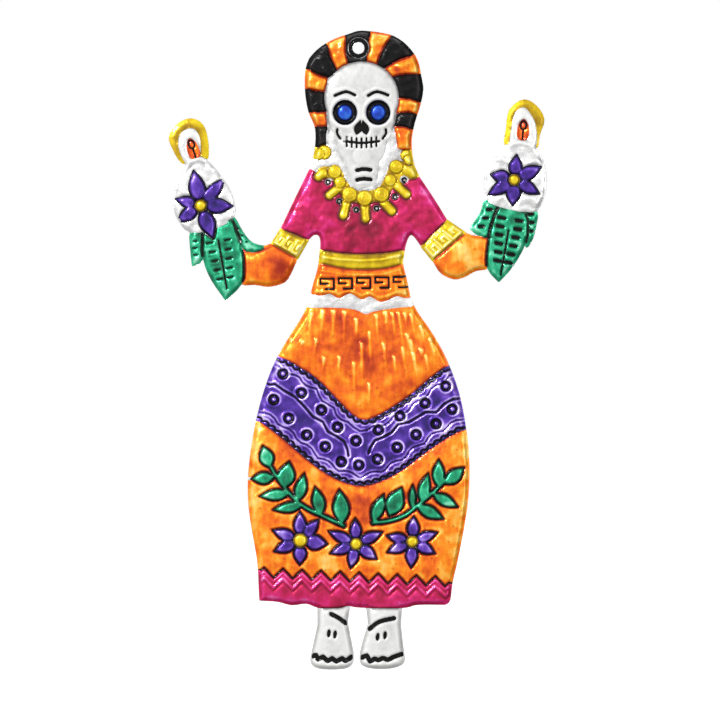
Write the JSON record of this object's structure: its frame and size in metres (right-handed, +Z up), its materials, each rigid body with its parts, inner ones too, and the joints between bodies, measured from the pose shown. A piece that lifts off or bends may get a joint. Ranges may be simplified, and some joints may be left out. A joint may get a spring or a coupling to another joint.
{
  "type": "catrina hanging ornament",
  "caption": "Flat embossed tinplate catrina with raised arms, long lacquered skirt and candles, with a punched hanging hole in the headwrap.",
  "frame": {"origin": "centre of the punched hanging hole, on the back of the sheet", "axes": "+X to the viewer's right, +Z up, and the painted front faces -Y"},
  "size_m": [0.0983, 0.0017, 0.1662],
  "materials": {
    "tin": "bright embossed tinplate",
    "lacquer_orange": "glossy translucent lacquer over tin",
    "lacquer_magenta": "glossy translucent lacquer over tin",
    "lacquer_yellow": "glossy translucent lacquer over tin",
    "lacquer_purple": "glossy translucent lacquer over tin",
    "lacquer_green": "glossy translucent lacquer over tin",
    "lacquer_blue": "glossy translucent lacquer over tin",
    "enamel_white": "satin white enamel",
    "enamel_black": "glossy black enamel"
  },
  "bodies": {
    "root": {"tin_sheet": "tin", "headwrap_orange_bands": "lacquer_orange", "headwrap_black_bands": "enamel_black", "skull_white_enamel": "enamel_white", "eye_blue_left": "lacquer_blue", "eye_blue_right": "lacquer_blue", "face_black_lines": "enamel_black", "earring_left": "lacquer_yellow", "earring_right": "lacquer_yellow", "collar_yellow": "lacquer_yellow", "collar_picots": "enamel_black", "blouse_magenta": "lacquer_magenta", "cuff_left": "lacquer_yellow", "cuff_right": "lacquer_yellow", "forearm_left": "lacquer_orange", "forearm_right": "lacquer_orange", "halo_left": "lacquer_yellow", "halo_right": "lacquer_yellow", "flame_left": "lacquer_orange", "flame_right": "lacquer_orange", "wick_left": "enamel_black", "wick_right": "enamel_black", "hand_petals_left": "lacquer_purple", "hand_petals_right": "lacquer_purple", "hand_flower_heart_left": "lacquer_yellow", "hand_flower_heart_right": "lacquer_yellow", "middle_leaf_left": "lacquer_green", "middle_leaf_right": "lacquer_green", "side_leaves_left": "lacquer_green", "side_leaves_right": "lacquer_green", "hand_black_lines_left": "enamel_black", "hand_black_lines_right": "enamel_black", "belt_yellow": "lacquer_yellow", "waistband_orange": "lacquer_orange", "waistband_fret": "enamel_black", "skirt_upper_orange": "lacquer_orange", "flounce_purple": "lacquer_purple", "flounce_black_lines": "enamel_black", "flounce_rings": "enamel_black", "skirt_lower_orange": "lacquer_orange", "sprig_left": "lacquer_green", "sprig_right": "lacquer_green", "skirt_flower_left": "lacquer_purple", "skirt_flower_middle": "lacquer_purple", "skirt_flower_right": "lacquer_purple", "skirt_flower_hearts": "lacquer_yellow", "skirt_black_lines": "enamel_black", "hem_magenta": "lacquer_magenta", "hem_zigzag_line": "enamel_black", "foot_left": "enamel_white", "foot_right": "enamel_white", "foot_black_lines_left": "enamel_black", "foot_black_lines_right": "enamel_black"}
  },
  "joints": []
}
